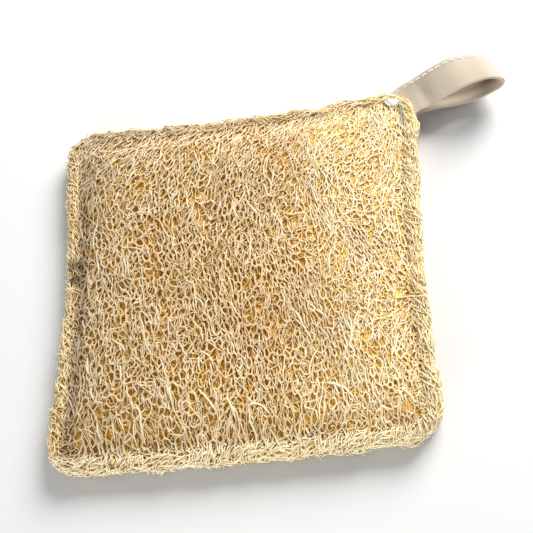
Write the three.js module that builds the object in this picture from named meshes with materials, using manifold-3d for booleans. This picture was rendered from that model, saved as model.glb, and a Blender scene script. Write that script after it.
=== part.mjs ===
// A square scouring pad of natural loofah with a cloth hanging loop at one corner.
// Two sheets of loofah lie face to face and a seam near their edge joins them. The loop's two ends are
// caught between the sheets at the corner. Lengths are in millimetres, +Z is up, and the origin is on
// the table under the middle of the pad.
import * as THREE from 'three';
import { ConvexHull } from 'three/addons/math/ConvexHull.js';
import { mergeVertices } from 'three/addons/utils/BufferGeometryUtils.js';
import Module from 'manifold-3d';

const wasm = await Module();
wasm.setup();

// The pad's outline: its corners counterclockwise from the front left, how far each is rounded off, and
// how far the side that leaves it bows inwards at its middle
const CORNERS = [
  { x: -59.5, y: -60.8, round: 8, bow: -1.2 },
  { x: 59.2, y: -59.2, round: 11, bow: 2.2 },
  { x: 61.3, y: 61.6, round: 7, bow: 1.2 },
  { x: -58.8, y: 58.8, round: 7, bow: 2.3 },
];
const SEAM_INSET = 5;
const SHEET_GAP = 0.3;
const CLEARANCE = 0.3;

// Heights over the table against the distance inwards from the outline, how far the tape lifts each
// surface at the loop's corner, and how much of the soft swell it shows
const TOP = {
  profile: [[0, 6.2], [1.7, 7.8], [3.3, 6.3], [6.7, 6.3], [9, 9.2], [13, 11.2], [24, 12], [60, 12.4]],
  lift: 2.6,
  swell: 1,
};
const MEETING = { profile: [[0, 4.4], [5, 4.4], [20, 6], [60, 6]], lift: 1.9, swell: 0 };
const UNDER = {
  profile: [[0, 2.6], [1.7, 1.1], [3.3, 2.7], [6.7, 2.7], [9, 1], [12, 0], [60, 0]],
  lift: 1,
  swell: 0,
};
const LOOP_CORNER = new THREE.Vector2(59, 59);
const LIFT_REACH = 16;

// The fibre net: spacing of its cells, how much longer they are along the fruit, and their depth
const NET = {
  top: { pitch: 6.5, stretch: 1.25, depth: [1.5, 2.4], wander: 0.4, seed: 11 },
  under: { pitch: 8.2, stretch: 1.2, depth: [1.2, 1.8], wander: 0, seed: 23 },
};
const RIM_CELL = 5.2;
const RIM_RAGGED = 0.55;
const SITE_JITTER = 0.3;
const STRAND_COUNT = 8;
const STRAND_RADIUS = 0.75;

// Sewing thread and its stitches
const SEAM_THREAD_RADIUS = 0.3;
const SEAM_STITCH = 6;
const SEAM_DIP = 0.6;
const SEAM_CELL_DEPTH = 0.8;
const LOOP_THREAD_RADIUS = 0.2;
const LOOP_STITCH = 2.6;
const LOOP_STITCH_INSET = 1.2;

// The hanging loop: a folded cloth tape. Each station has the tape's centre and the turn and tilt, in
// degrees, of the line across the tape from its back edge to its front edge.
const TAPE_WIDTH = 12;
const TAPE_THICKNESS = 0.9;
const PLY_RISE = (TAPE_THICKNESS + CLEARANCE) / 2;
const ROOT_TURN = -54.5;
const TAPE_EXIT = new THREE.Vector2(58.05, 56.4);
const ROOT_LENGTH = 9;
const LOOP_STATIONS = [
  { at: [63, 57.9, 8.6], turn: -61, tilt: 5 },
  { at: [68.9, 58.8, 11.6], turn: -67.5, tilt: 7.5 },
  { at: [74.7, 59.6, 14.4], turn: -76, tilt: 8 },
  { at: [79.7, 60.4, 15.9], turn: -79, tilt: 11 },
  { at: [83.6, 60.9, 15.7], turn: -79.5, tilt: 11 },
  { at: [86.6, 61.6, 13.1], turn: -80.5, tilt: 14 },
  { at: [88.6, 62.4, 9.4], turn: -81, tilt: 17 },
  { at: [88, 62.9, 5.8], turn: -81, tilt: 16 },
  { at: [84.6, 62.8, 3.6], turn: -80, tilt: 11 },
  { at: [78, 61.8, 2.7], turn: -76, tilt: 6 },
  { at: [71, 60.5, 3.1], turn: -70, tilt: 4 },
  { at: [64.5, 58.9, 4.4], turn: -61, tilt: 2 },
];
const STEPS_PER_STATION = 3;

const COLOURS = {
  fibre: { color: 0xd9bd84, roughness: 0.78 },
  underFibre: { color: 0xcfb27a, roughness: 0.8 },
  cloth: { color: 0xd8c9ae, roughness: 0.9 },
  thread: { color: 0xece4d6, roughness: 0.7 },
};

// Small helpers

function randomSource(seed) {
  let state = seed;
  return () => {
    state = (state + 0x6d2b79f5) | 0;
    let t = Math.imul(state ^ (state >>> 15), 1 | state);
    t = (t + Math.imul(t ^ (t >>> 7), 61 | t)) ^ t;
    return ((t ^ (t >>> 14)) >>> 0) / 4294967296;
  };
}

function profileHeight(profile, d) {
  for (let i = 1; i < profile.length; i += 1) {
    const [d0, z0] = profile[i - 1];
    const [d1, z1] = profile[i];
    if (d <= d1) return z0 + ((z1 - z0) * Math.max(0, d - d0)) / (d1 - d0);
  }
  return profile[profile.length - 1][1];
}

function fromLoopCorner(x, y) {
  return Math.hypot(x - LOOP_CORNER.x, y - LOOP_CORNER.y);
}

function cornerLift(x, y) {
  const r = fromLoopCorner(x, y) / LIFT_REACH;
  return Math.exp(-r * r);
}

// The net stays shallow over the caught tape
function freeOfTape(x, y) {
  return THREE.MathUtils.smoothstep(fromLoopCorner(x, y), 14, 21);
}

// Soft valleys where the fruit's seed channels were pressed flat
function channelSwell(x, y) {
  return 0.35 * Math.cos((x + 0.12 * y) / 6.2) + 0.25 * Math.cos(y / 9 + x / 31);
}

// The outline and lines parallel to it

function outlineShape() {
  const shape = new THREE.Shape();
  const points = CORNERS.map((c) => new THREE.Vector2(c.x, c.y));
  CORNERS.forEach((corner, i) => {
    const here = points[i];
    const before = points[(i + 3) % 4].clone().sub(here).normalize().multiplyScalar(corner.round).add(here);
    const after = points[(i + 1) % 4].clone().sub(here).normalize().multiplyScalar(corner.round).add(here);
    if (i === 0) shape.moveTo(before.x, before.y);
    shape.quadraticCurveTo(here.x, here.y, after.x, after.y);
    const next = CORNERS[(i + 1) % 4];
    const far = points[(i + 1) % 4];
    const end = here.clone().sub(far).normalize().multiplyScalar(next.round).add(far);
    const inwards = new THREE.Vector2(-(far.y - here.y), far.x - here.x).normalize();
    const middle = after.clone().add(end).multiplyScalar(0.5).addScaledVector(inwards, 2 * corner.bow);
    shape.quadraticCurveTo(middle.x, middle.y, end.x, end.y);
  });
  return shape;
}

const OUTLINE = outlineShape();
const OUTLINE_POINTS = OUTLINE.getSpacedPoints(240).slice(0, -1);

function distanceInside(x, y) {
  let best = Infinity;
  OUTLINE_POINTS.forEach((a, i) => {
    const b = OUTLINE_POINTS[(i + 1) % OUTLINE_POINTS.length];
    const dx = b.x - a.x;
    const dy = b.y - a.y;
    const t = THREE.MathUtils.clamp(((x - a.x) * dx + (y - a.y) * dy) / (dx * dx + dy * dy), 0, 1);
    best = Math.min(best, Math.hypot(x - a.x - t * dx, y - a.y - t * dy));
  });
  return best;
}

// Evenly spaced points on a line parallel to the outline, inset by a distance
function insetLoop(inset, spacing) {
  const dense = OUTLINE_POINTS.map((p, i) => {
    const n = OUTLINE_POINTS.length;
    const along = OUTLINE_POINTS[(i + 1) % n].clone().sub(OUTLINE_POINTS[(i + n - 1) % n]).normalize();
    return new THREE.Vector3(p.x - along.y * inset, p.y + along.x * inset, 0);
  });
  const clear = dense.filter((p) => distanceInside(p.x, p.y) > inset - 0.02);
  const curve = new THREE.CatmullRomCurve3(clear, true);
  const count = Math.round(curve.getLength() / spacing);
  return curve.getSpacedPoints(count).slice(0, -1).map((p) => new THREE.Vector2(p.x, p.y));
}

function surfaceHeight(surface, x, y) {
  const d = distanceInside(x, y);
  const swell = surface.swell * THREE.MathUtils.smoothstep(d, 9, 20) * channelSwell(x, y);
  return profileHeight(surface.profile, d) + surface.lift * cornerLift(x, y) + swell;
}

function isInside(polygon, x, y) {
  return polygon.reduce((inside, a, i) => {
    const b = polygon[(i + 1) % polygon.length];
    const crosses = a.y > y !== b.y > y && x < a.x + ((y - a.y) * (b.x - a.x)) / (b.y - a.y);
    return crosses ? !inside : inside;
  }, false);
}

// Triangulates points in the plane, of which the first ones are the ring round the others: the
// triangles are the lower side of the points' hull on a paraboloid
function triangulate(points, ringCount) {
  const ring = points.slice(0, ringCount);
  const lifted = points.map((p) => new THREE.Vector3(p.x, p.y, (p.x * p.x + p.y * p.y) / 100));
  const hull = new ConvexHull().setFromPoints(lifted);
  const index = new Map(lifted.map((v, i) => [v, i]));
  const faces = [];
  hull.faces.forEach((face) => {
    if (face.normal.z > -1e-9) return;
    const ids = [face.edge, face.edge.next, face.edge.next.next].map((e) => index.get(e.head().point));
    const [a, b, c] = ids.map((id) => points[id]);
    const turn = (b.x - a.x) * (c.y - a.y) - (b.y - a.y) * (c.x - a.x);
    if (!isInside(ring, (a.x + b.x + c.x) / 3, (a.y + b.y + c.y) / 3)) return;
    faces.push(turn > 0 ? ids : [ids[0], ids[2], ids[1]]);
  });
  return faces;
}

// A sheet of loofah

function netSites(net, seamSites, random) {
  const sites = [new THREE.Vector2(0, 0)];
  const rowStep = net.pitch * net.stretch * Math.sqrt(0.75);
  const reach = SEAM_INSET + 0.72 * net.pitch;
  for (let row = -12; row <= 12; row += 1) {
    for (let column = -12; column <= 12; column += 1) {
      const x = (column + (row % 2 ? 0.5 : 0)) * net.pitch + (random() - 0.5) * 2 * SITE_JITTER * net.pitch;
      const y = row * rowStep + (random() - 0.5) * 2 * SITE_JITTER * net.pitch;
      const inside = Math.abs(x) < 60 && Math.abs(y) < 61 && distanceInside(x, y) > reach;
      if (inside && Math.hypot(x, y) > 0.6 * net.pitch) sites.push(new THREE.Vector2(x, y));
    }
  }
  return [...seamSites, ...sites];
}

// One closed body: the netted outer face, the ragged side, and the inner face. sign is 1 for the sheet
// that looks up and -1 for the one that looks down.
function sheetGeometry(net, surface, sign) {
  const random = randomSource(net.seed);
  const rim = insetLoop(0, RIM_CELL);
  const seamSites = insetLoop(SEAM_INSET, SEAM_STITCH);
  const inner = netSites(net, seamSites, random);
  const points = [...rim, ...inner];
  const rimCount = rim.length;
  const faces = triangulate(points, rimCount);
  const vertices = [];
  const triangles = [];
  const addVertex = (x, y, z) => vertices.push([x, y, z]) - 1;
  const addTriangle = (a, b, c) => triangles.push(sign > 0 ? [a, b, c] : [a, c, b]);
  const outer = (x, y) => surfaceHeight(surface, x, y);
  const meeting = (x, y) => surfaceHeight(MEETING, x, y) + (sign * SHEET_GAP) / 2;

  // Ridge ends: one at each triangle's middle. Those next to two seam sites lie level with the seam.
  const isSeamSite = (id) => id >= rimCount && id < rimCount + seamSites.length;
  const ridge = faces.map((ids) => {
    const x = ids.reduce((sum, id) => sum + points[id].x, 0) / 3;
    const y = ids.reduce((sum, id) => sum + points[id].y, 0) / 3;
    const [p, q] = ids.filter(isSeamSite).map((id) => points[id]);
    if (q) return addVertex(x, y, outer((p.x + q.x) / 2, (p.y + q.y) / 2));
    const level = THREE.MathUtils.smoothstep(distanceInside(x, y), 9, 14);
    return addVertex(x, y, outer(x, y) + level * net.wander * (random() - 0.5) * 2);
  });

  // The ragged rim: its sites stand out and the points between them stand in
  const rimRing = [];
  rim.forEach((p, i) => {
    const next = rim[(i + 1) % rimCount];
    const out = new THREE.Vector2(next.y - p.y, p.x - next.x).normalize();
    const push = RIM_RAGGED * (0.3 + random());
    const pull = -RIM_RAGGED * (0.2 + 0.8 * random());
    const mid = p.clone().add(next).multiplyScalar(0.5).addScaledVector(out, pull);
    const tip = p.clone().addScaledVector(out, push);
    rimRing.push(addVertex(tip.x, tip.y, outer(tip.x, tip.y) + 0.5 * (random() - 0.5)));
    rimRing.push(addVertex(mid.x, mid.y, outer(mid.x, mid.y) + 0.5 * (random() - 0.5)));
  });

  // Cells: a sloping border from the ridges down to a floor
  const around = points.map(() => []);
  faces.forEach((ids, f) => ids.forEach((id) => around[id].push(f)));
  points.forEach((site, id) => {
    const bearing = (f) => {
      const [x, y] = vertices[ridge[f]];
      return Math.atan2(y - site.y, x - site.x);
    };
    let border = around[id].slice();
    if (id < rimCount) {
      const back = Math.atan2(rim[(id + 1) % rimCount].y - site.y, rim[(id + 1) % rimCount].x - site.x);
      const turnFrom = (f) => THREE.MathUtils.euclideanModulo(bearing(f) - back, 2 * Math.PI);
      border.sort((f, g) => turnFrom(f) - turnFrom(g));
      const before = rimRing[(2 * id + 2 * rimCount - 1) % (2 * rimCount)];
      border = [rimRing[2 * id], rimRing[2 * id + 1], ...border.map((f) => ridge[f]), before];
    } else {
      border.sort((f, g) => bearing(f) - bearing(g));
      border = border.map((f) => ridge[f]);
    }
    fillCell(border, id === rimCount + seamSites.length, isSeamSite(id) ? outer(site.x, site.y) : null);
  });

  function fillCell(border, isFlat, seamLevel) {
    const n = border.length;
    const centre = [0, 1, 2].map((k) => border.reduce((sum, v) => sum + vertices[v][k], 0) / n);
    const [x, y] = centre;
    const level = THREE.MathUtils.smoothstep(distanceInside(x, y), 1, 9);
    const share = (seamLevel === null ? 0.55 + 0.45 * level : 1) * freeOfTape(x, y);
    const deep = seamLevel === null ? THREE.MathUtils.lerp(net.depth[0], net.depth[1], random()) : SEAM_CELL_DEPTH;
    const depth = deep * share;
    const inset = 0.2 + 0.12 * random();
    if (isFlat && sign < 0) border.forEach((v) => { vertices[v][2] = 0; });
    const floorDepth = isFlat && sign < 0 ? 0 : depth;
    const floor = border.map((v) => {
      const [vx, vy, vz] = vertices[v];
      const z = (seamLevel ?? THREE.MathUtils.lerp(vz, centre[2], 0.5)) - sign * floorDepth;
      return addVertex(vx + (x - vx) * inset, vy + (y - vy) * inset, isFlat && sign < 0 ? 0 : z);
    });
    border.forEach((v, i) => {
      const j = (i + 1) % n;
      addTriangle(v, border[j], floor[j]);
      addTriangle(v, floor[j], floor[i]);
    });
    for (let i = 1; i < n - 1; i += 1) addTriangle(floor[0], floor[i], floor[i + 1]);
  }

  // The side, and the inner face where the two sheets meet
  const foot = rimRing.map((v) => {
    const [x, y] = vertices[v];
    return addVertex(x, y, meeting(x, y));
  });
  rimRing.forEach((v, i) => {
    const j = (i + 1) % rimRing.length;
    addTriangle(v, foot[i], foot[j]);
    addTriangle(v, foot[j], rimRing[j]);
  });
  const rows = [5, 12, 21, 34, 48].flatMap((inset, i) => insetLoop(inset, 8 + 3 * i));
  const hidden = rows.map((p) => addVertex(p.x, p.y, meeting(p.x, p.y)));
  const footIds = [...foot, ...hidden];
  const footPoints = footIds.map((v) => new THREE.Vector2(vertices[v][0], vertices[v][1]));
  triangulate(footPoints, foot.length).forEach(([a, b, c]) => {
    addTriangle(footIds[a], footIds[c], footIds[b]);
  });
  return geometryFrom(vertices, triangles);
}

function geometryFrom(vertices, triangles) {
  const geometry = new THREE.BufferGeometry();
  geometry.setAttribute('position', new THREE.Float32BufferAttribute(vertices.flat(), 3));
  geometry.setIndex(triangles.flat());
  return geometry;
}

// Solids for joining and cutting

function solidFrom(geometry) {
  const bare = geometry.clone();
  bare.deleteAttribute('normal');
  bare.deleteAttribute('uv');
  const merged = mergeVertices(bare, 1e-5);
  const vertProperties = new Float32Array(merged.attributes.position.array);
  const triVerts = new Uint32Array(merged.index.array);
  return new wasm.Manifold(new wasm.Mesh({ numProp: 3, vertProperties, triVerts }));
}

function geometryOf(solid) {
  const mesh = solid.getMesh();
  const geometry = new THREE.BufferGeometry();
  geometry.setAttribute('position', new THREE.BufferAttribute(new Float32Array(mesh.vertProperties), 3));
  geometry.setIndex(new THREE.BufferAttribute(new Uint32Array(mesh.triVerts), 1));
  return geometry;
}

// A thread or strand with few sides along a list of points
function strandGeometry(points, radius, sides, closed) {
  const vertices = [];
  const triangles = [];
  const n = points.length;
  points.forEach((p, i) => {
    const before = closed ? points[(i + n - 1) % n] : points[Math.max(0, i - 1)];
    const after = closed ? points[(i + 1) % n] : points[Math.min(n - 1, i + 1)];
    const along = after.clone().sub(before).normalize();
    const across = new THREE.Vector3(-along.y, along.x, 0).normalize();
    const up = new THREE.Vector3().crossVectors(along, across);
    for (let k = 0; k < sides; k += 1) {
      const angle = Math.PI / 2 + (2 * Math.PI * k) / sides;
      const v = p.clone().addScaledVector(across, radius * Math.cos(angle)).addScaledVector(up, radius * Math.sin(angle));
      vertices.push(v.toArray());
    }
  });
  const segments = closed ? n : n - 1;
  for (let i = 0; i < segments; i += 1) {
    const a = i * sides;
    const b = ((i + 1) % n) * sides;
    for (let k = 0; k < sides; k += 1) {
      const m = (k + 1) % sides;
      triangles.push([a + k, a + m, b + k], [a + m, b + m, b + k]);
    }
  }
  if (!closed) {
    const last = (n - 1) * sides;
    for (let k = 1; k < sides - 1; k += 1) {
      triangles.push([0, k + 1, k], [last, last + k, last + k + 1]);
    }
  }
  return geometryFrom(vertices, triangles);
}

// Long fibres that wander over the top of the net, mostly along the fruit
function longStrands() {
  const random = randomSource(71);
  return Array.from({ length: STRAND_COUNT }, (_, i) => {
    const length = 34 + 34 * random();
    const startX = -46 + (92 * (i + 0.5)) / STRAND_COUNT + 4 * (random() - 0.5);
    const startY = -46 + (88 - length) * random();
    const bend = 5 * (random() - 0.5);
    const lean = (-startX * 0.3) / length + 0.16 * (random() - 0.5);
    const count = Math.round(length / 11);
    const points = Array.from({ length: count + 1 }, (_unused, k) => {
      const t = k / count;
      const x = startX + lean * length * t + bend * Math.sin(Math.PI * 1.5 * t);
      const y = startY + length * t;
      const sunk = k === 0 || k === count ? 1.2 : 0;
      return new THREE.Vector3(x, y, surfaceHeight(TOP, x, y) + 0.05 - sunk);
    });
    return solidFrom(strandGeometry(points, STRAND_RADIUS, 3, false));
  });
}

// The seam's thread lies in the groove, over the net's ridges, and dips into the cells between them
function seamThread(surface, sign) {
  const sites = insetLoop(SEAM_INSET, SEAM_STITCH);
  const points = [];
  sites.forEach((p, i) => {
    const next = sites[(i + 1) % sites.length];
    const mid = p.clone().add(next).multiplyScalar(0.5);
    const lie = 1.4 * CLEARANCE + SEAM_THREAD_RADIUS;
    const height = (q) => surfaceHeight(surface, q.x, q.y) + sign * lie;
    const dip = SEAM_DIP * freeOfTape(p.x, p.y);
    points.push(new THREE.Vector3(p.x, p.y, height(p) - sign * dip));
    points.push(new THREE.Vector3(mid.x, mid.y, height(mid)));
  });
  return strandGeometry(points, SEAM_THREAD_RADIUS, 3, true);
}

// The hanging loop

function acrossTape(turn, tilt) {
  const a = THREE.MathUtils.degToRad(turn);
  const b = THREE.MathUtils.degToRad(tilt);
  return new THREE.Vector3(Math.cos(a) * Math.cos(b), Math.sin(a) * Math.cos(b), Math.sin(b));
}

function rootStation(back, ply) {
  const a = THREE.MathUtils.degToRad(ROOT_TURN);
  const x = TAPE_EXIT.x + Math.sin(a) * back;
  const y = TAPE_EXIT.y - Math.cos(a) * back;
  const z = surfaceHeight(MEETING, x, y) + ply * PLY_RISE;
  return { at: [x, y, z], turn: ROOT_TURN, tilt: 0 };
}

// Frames along the slot between the sheets that holds both ends of the tape
function slotFrames() {
  const across = acrossTape(ROOT_TURN, 0);
  const normal = new THREE.Vector3(0, 0, 1);
  return [ROOT_LENGTH + 2 * CLEARANCE, ROOT_LENGTH / 2, 0, -8].map((back) => {
    const at = new THREE.Vector3(...rootStation(Math.max(0, back), 0).at);
    if (back < 0) at.add(new THREE.Vector3(across.y, -across.x, 0).multiplyScalar(back));
    return { at, across, normal };
  });
}

// Frames along the tape: its middle, the direction across it and its outer face's normal
function tapeFrames(rootLength) {
  const stations = [
    ...[rootLength, rootLength / 2, 0].map((back) => rootStation(back, 1)),
    ...LOOP_STATIONS,
    ...[0, rootLength / 2, rootLength].map((back) => rootStation(back, -1)),
  ];
  const middle = new THREE.CatmullRomCurve3(stations.map((s) => new THREE.Vector3(...s.at)));
  const pose = new THREE.CatmullRomCurve3(stations.map((s) => new THREE.Vector3(s.turn, s.tilt, 0)));
  const count = (stations.length - 1) * STEPS_PER_STATION;
  return Array.from({ length: count + 1 }, (_, i) => {
    const t = i / count;
    const at = middle.getPoint(t);
    const { x: turn, y: tilt } = pose.getPoint(t);
    const across = acrossTape(turn, tilt);
    const along = middle.getTangent(t);
    const normal = new THREE.Vector3().crossVectors(across, along).normalize();
    return { at, across, normal, station: i / STEPS_PER_STATION };
  });
}

function tapeGeometry(frames, width, thickness) {
  const vertices = [];
  const triangles = [];
  frames.forEach(({ at, across, normal }) => {
    [[-1, -1], [1, -1], [1, 1], [-1, 1]].forEach(([u, v]) => {
      const p = at.clone().addScaledVector(across, (u * width) / 2).addScaledVector(normal, (v * thickness) / 2);
      vertices.push(p.toArray());
    });
  });
  for (let i = 0; i < frames.length - 1; i += 1) {
    const a = 4 * i;
    const b = a + 4;
    for (let k = 0; k < 4; k += 1) {
      const m = (k + 1) % 4;
      triangles.push([a + k, b + k, a + m], [a + m, b + k, b + m]);
    }
  }
  const last = 4 * (frames.length - 1);
  triangles.push([0, 1, 2], [0, 2, 3], [last, last + 2, last + 1], [last, last + 3, last + 2]);
  return geometryFrom(vertices, triangles);
}

// A row of stitches near the tape's back edge, on its outer face (side 1) or its inner face (side -1)
function loopStitching(frames, side) {
  const free = frames.filter((f) => f.station > 3.2 && f.station < 2 + LOOP_STATIONS.length - 0.5);
  const lift = side * (TAPE_THICKNESS / 2 + 1.2 * CLEARANCE + LOOP_THREAD_RADIUS);
  const edge = free.map(({ at, across, normal }) =>
    at.clone().addScaledVector(across, LOOP_STITCH_INSET - TAPE_WIDTH / 2).addScaledVector(normal, lift));
  const curve = new THREE.CatmullRomCurve3(edge);
  const stitches = Math.round(curve.getLength() / LOOP_STITCH);
  return strandGeometry(curve.getSpacedPoints(2 * stitches), LOOP_THREAD_RADIUS, 3, false);
}

// The whole pad

function named(name, geometry, look) {
  const mesh = new THREE.Mesh(geometry, new THREE.MeshStandardMaterial({ metalness: 0, ...look }));
  mesh.name = name;
  return mesh;
}

const frames = tapeFrames(ROOT_LENGTH);
const room = tapeFrames(ROOT_LENGTH + CLEARANCE);
const plies = solidFrom(tapeGeometry(room, TAPE_WIDTH + 2 * CLEARANCE, TAPE_THICKNESS + 2 * CLEARANCE));
const slotHeight = 2 * PLY_RISE + TAPE_THICKNESS + CLEARANCE;
const slot = solidFrom(tapeGeometry(slotFrames(), TAPE_WIDTH + 4 * CLEARANCE, slotHeight));
const pocket = plies.add(slot);

let topSheet = solidFrom(sheetGeometry(NET.top, TOP, 1));
longStrands().forEach((strand) => {
  topSheet = topSheet.add(strand);
});
topSheet = topSheet.subtract(pocket);
const underSheet = solidFrom(sheetGeometry(NET.under, UNDER, -1)).subtract(pocket);

const pad = new THREE.Group();
pad.add(named('loofah_sheet_top', geometryOf(topSheet), COLOURS.fibre));
pad.add(named('loofah_sheet_under', geometryOf(underSheet), COLOURS.underFibre));
pad.add(named('hanging_loop', tapeGeometry(frames, TAPE_WIDTH, TAPE_THICKNESS), COLOURS.cloth));
pad.add(named('loop_stitching_outer', loopStitching(frames, 1), COLOURS.thread));
pad.add(named('loop_stitching_inner', loopStitching(frames, -1), COLOURS.thread));
pad.add(named('seam_thread_top', seamThread(TOP, 1), COLOURS.thread));
pad.add(named('seam_thread_under', seamThread(UNDER, -1), COLOURS.thread));

export default pad;
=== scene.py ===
import math

import bpy
import numpy as np
from mathutils import Matrix, Vector
from mathutils.geometry import delaunay_2d_cdt


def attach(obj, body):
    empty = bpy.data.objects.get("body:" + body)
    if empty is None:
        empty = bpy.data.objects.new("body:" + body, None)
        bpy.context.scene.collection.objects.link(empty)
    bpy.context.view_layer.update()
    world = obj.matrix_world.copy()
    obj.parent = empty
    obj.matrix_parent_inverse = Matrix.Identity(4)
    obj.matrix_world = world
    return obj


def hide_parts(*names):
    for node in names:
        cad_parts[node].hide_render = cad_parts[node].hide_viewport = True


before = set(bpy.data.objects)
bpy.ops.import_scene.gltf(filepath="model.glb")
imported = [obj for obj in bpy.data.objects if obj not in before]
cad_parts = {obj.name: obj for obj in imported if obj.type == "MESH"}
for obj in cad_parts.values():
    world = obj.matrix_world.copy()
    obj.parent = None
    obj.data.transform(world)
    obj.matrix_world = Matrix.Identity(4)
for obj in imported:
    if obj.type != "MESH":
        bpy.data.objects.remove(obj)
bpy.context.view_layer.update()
scene = bpy.context.scene

# Shapes are worked out in millimetres, in the frame of the CAD model, and made in metres.
MM = 0.001
TOP, UNDER = 1, -1

# ---- the pad's outline and heights, the same rules as the solids follow

# Each corner: its place, how far its rounding reaches, and how far the side after it bows inwards.
CORNERS = [
    (-59.0, -61.0, 10, -0.8),
    (58.4, -58.8, 12, 1.9),
    (60.9, 59.4, 13, 1.7),
    (-58.2, 58.2, 12, 2.5),
]
MIDDLE = np.array([0.3, 0.0])
SEAM_INSET = 5.0
LOOP_CORNER = np.array([59.0, 59.0])
LIFT_REACH = 16.0     # how far round the loop's corner the sheets are lifted by the tape between them
TOP_LIFT = 1.9
UNDER_LIFT = 1.0
BACK_RIDGE = 0.6      # how much higher the top stands beside the seam along the back and the front
LEFT_DENT = 0.9       # how far the left rim is pressed in, near its middle


def unit(v):
    """The same direction, or row of directions, with a length of 1."""
    return v / np.linalg.norm(v, axis=-1, keepdims=True)


def bend(a, b, c, count):
    t = np.linspace(0, 1, count, endpoint=False)[:, None]
    return (1 - t) ** 2 * a + 2 * t * (1 - t) * b + t**2 * c


def run_along(path):
    """How far along a path each of its points lies."""
    return np.concatenate([[0], np.cumsum(np.linalg.norm(np.diff(path, axis=0), axis=1))])


def evenly(points, count):
    """The same closed path with its points an equal way apart."""
    path = np.vstack([points, points[:1]])
    run = run_along(path)
    stops = np.linspace(0, run[-1], count + 1)[:-1]
    return np.stack([np.interp(stops, run, path[:, k]) for k in range(path.shape[1])], axis=1)


def pad_outline():
    ends = [np.array(c[:2]) for c in CORNERS]
    path = []
    for i, here in enumerate(ends):
        before, after = ends[i - 1], ends[(i + 1) % len(ends)]
        turn, bow = CORNERS[i][2:]
        start = here + unit(before - here) * turn
        leave = here + unit(after - here) * turn
        arrive = after + unit(here - after) * CORNERS[(i + 1) % len(ends)][2]
        side = after - here
        inwards = unit(np.array([-side[1], side[0]]))
        path.append(bend(start, here, leave, 12))
        path.append(bend(leave, (leave + arrive) / 2 + inwards * 2 * bow, arrive, 60))
    return evenly(np.vstack(path), 360)


OUTLINE = pad_outline()


def from_edge(points):
    """How far each point lies inside the outline, and the way straight out from there."""
    most_at_once = 2000
    a = OUTLINE
    b = np.roll(OUTLINE, -1, axis=0)
    run = b - a
    size2 = (run**2).sum(1)
    outward = np.stack([run[:, 1], -run[:, 0]], axis=1) / np.sqrt(size2)[:, None]
    soft = (outward + np.roll(outward, 1, axis=0)) / 2
    inside, way = [], []
    for part in np.array_split(points, max(1, len(points) // most_at_once)):
        gap = part[:, None] - a
        t = np.clip((gap * run).sum(2) / size2, 0, 1)
        off = gap - t[..., None] * run
        d2 = (off**2).sum(2)
        k = d2.argmin(1)
        rows = np.arange(len(part))
        tk = t[rows, k][:, None]
        n = unit(soft[k] * (1 - tk) + soft[(k + 1) % len(a)] * tk)
        side = np.sign((off[rows, k] * outward[k]).sum(1))
        inside.append(-side * np.sqrt(d2[rows, k]))
        way.append(n)
    return np.concatenate(inside), np.vstack(way)


# The section across the rim: for each step s inwards along the surface, the inset and the height.
TOP_SECTION = np.array([
    (-6.5, 0.8, 2.0), (-3.4, 0.5, 4.5), (-2.2, 0.2, 5.5), (-1.1, 0.3, 6.5), (-0.2, 0.7, 7.2),
    (0.8, 1.3, 7.6), (1.7, 2.0, 7.75), (2.7, 2.8, 7.6), (3.6, 3.6, 7.3), (4.3, 4.3, 7.0),
    (5.0, 5.0, 6.9), (5.8, 5.8, 7.2), (7.0, 7.0, 8.1), (8.5, 8.5, 9.1), (11, 11, 10.2),
    (15, 15, 11.1), (24, 24, 11.9), (70, 70, 12.3),
])
UNDER_SECTION = np.array([
    (-6.5, 0.8, 6.6), (-3.2, 0.6, 4.3), (-2.0, 0.3, 3.4), (-1.0, 0.4, 2.5), (0.0, 0.9, 1.8),
    (1.0, 1.5, 1.4), (2.0, 2.1, 1.3), (3.4, 3.4, 1.8), (5.0, 5.0, 2.7), (6.6, 6.6, 1.9),
    (9.0, 9.0, 1.0), (12, 12, 0.6), (70, 70, 0.55),
])


def lift_at(x, y):
    return np.exp(-((x - LOOP_CORNER[0]) ** 2 + (y - LOOP_CORNER[1]) ** 2) / LIFT_REACH**2)


def smooth(value, low, high):
    t = np.clip((value - low) / (high - low), 0, 1)
    return t * t * (3 - 2 * t)


def rolls(x, y):
    """The soft hills and valleys of a flattened fruit: seed channels, a deep valley and a crease."""
    hills = 0.3 * np.cos((x + 0.12 * y) / 6.2) + 0.22 * np.cos(y / 9 + x / 31)
    hills += 0.18 * np.sin(x / 3.1 + 1.7 * np.sin(y / 17)) * np.cos(y / 4.3)
    valley = np.exp(-((x + 7.5 - 0.06 * (y - 18)) / 2.6) ** 2)
    valley = valley * smooth(y, -14, 0) * (1 - smooth(y, 36, 48))
    crease_line = -4.5 - 0.26 * (x + 40)
    crease = np.exp(-((y - crease_line) / 2.2) ** 2) * (1 - smooth(x, -22, -8))
    return hills - 0.9 * valley - 0.8 * crease


def packed(x, y):
    """How close the layers of fibre lie together: 1 is the full depth, and less is flatter."""
    return 1 - 0.6 * smooth(x, 2, 34) * (1 - 0.2 * smooth(-y, 20, 55)) - 0.15 * smooth(y, 25, 50)


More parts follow.
